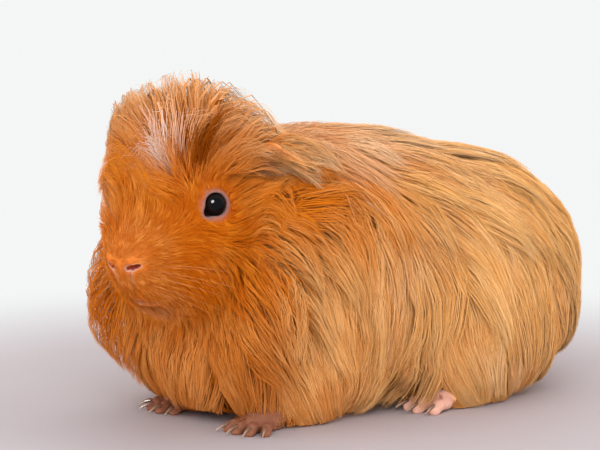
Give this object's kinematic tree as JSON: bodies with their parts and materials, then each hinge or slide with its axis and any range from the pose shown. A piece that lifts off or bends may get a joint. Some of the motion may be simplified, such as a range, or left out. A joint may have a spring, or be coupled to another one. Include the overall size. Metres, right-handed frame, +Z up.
{
  "type": "guinea pig",
  "caption": "Life-size still model of a long-haired ginger guinea pig at rest, its head turned to its left, with a puffed forelock and coat hair down to the feet.",
  "frame": {"origin": "below the middle of the bounding box, on the ground", "axes": "+Z up; the body looks along -Y and its left side is +X; the head is turned 18 degrees to its left"},
  "size_m": [0.1292, 0.2238, 0.127],
  "materials": {
    "coat_body": "long silky pale golden ginger hair",
    "coat_neck": "long ginger hair",
    "coat_head": "short to long deep orange ginger hair",
    "coat_crest": "fluffy ginger hair with a small white streak on the forehead",
    "bare_skin": "bare pink skin of the feet",
    "ear_skin": "thin, finely haired brownish pink skin",
    "eye": "wet, glossy, near black",
    "claw": "satin brown horn"
  },
  "bodies": {
    "root": {"trunk": "coat_body", "neck": "coat_neck", "head": "coat_head", "crest": "coat_crest", "eye_left": "eye", "ear_left": "ear_skin", "foreleg_left": "bare_skin", "foreclaw_left_1": "claw", "foreclaw_left_2": "claw", "foreclaw_left_3": "claw", "foreclaw_left_4": "claw", "hindleg_left": "bare_skin", "hindclaw_left_1": "claw", "hindclaw_left_2": "claw", "hindclaw_left_3": "claw", "eye_right": "eye", "ear_right": "ear_skin", "foreleg_right": "bare_skin", "foreclaw_right_1": "claw", "foreclaw_right_2": "claw", "foreclaw_right_3": "claw", "foreclaw_right_4": "claw", "hindleg_right": "bare_skin", "hindclaw_right_1": "claw", "hindclaw_right_2": "claw", "hindclaw_right_3": "claw"}
  },
  "joints": []
}
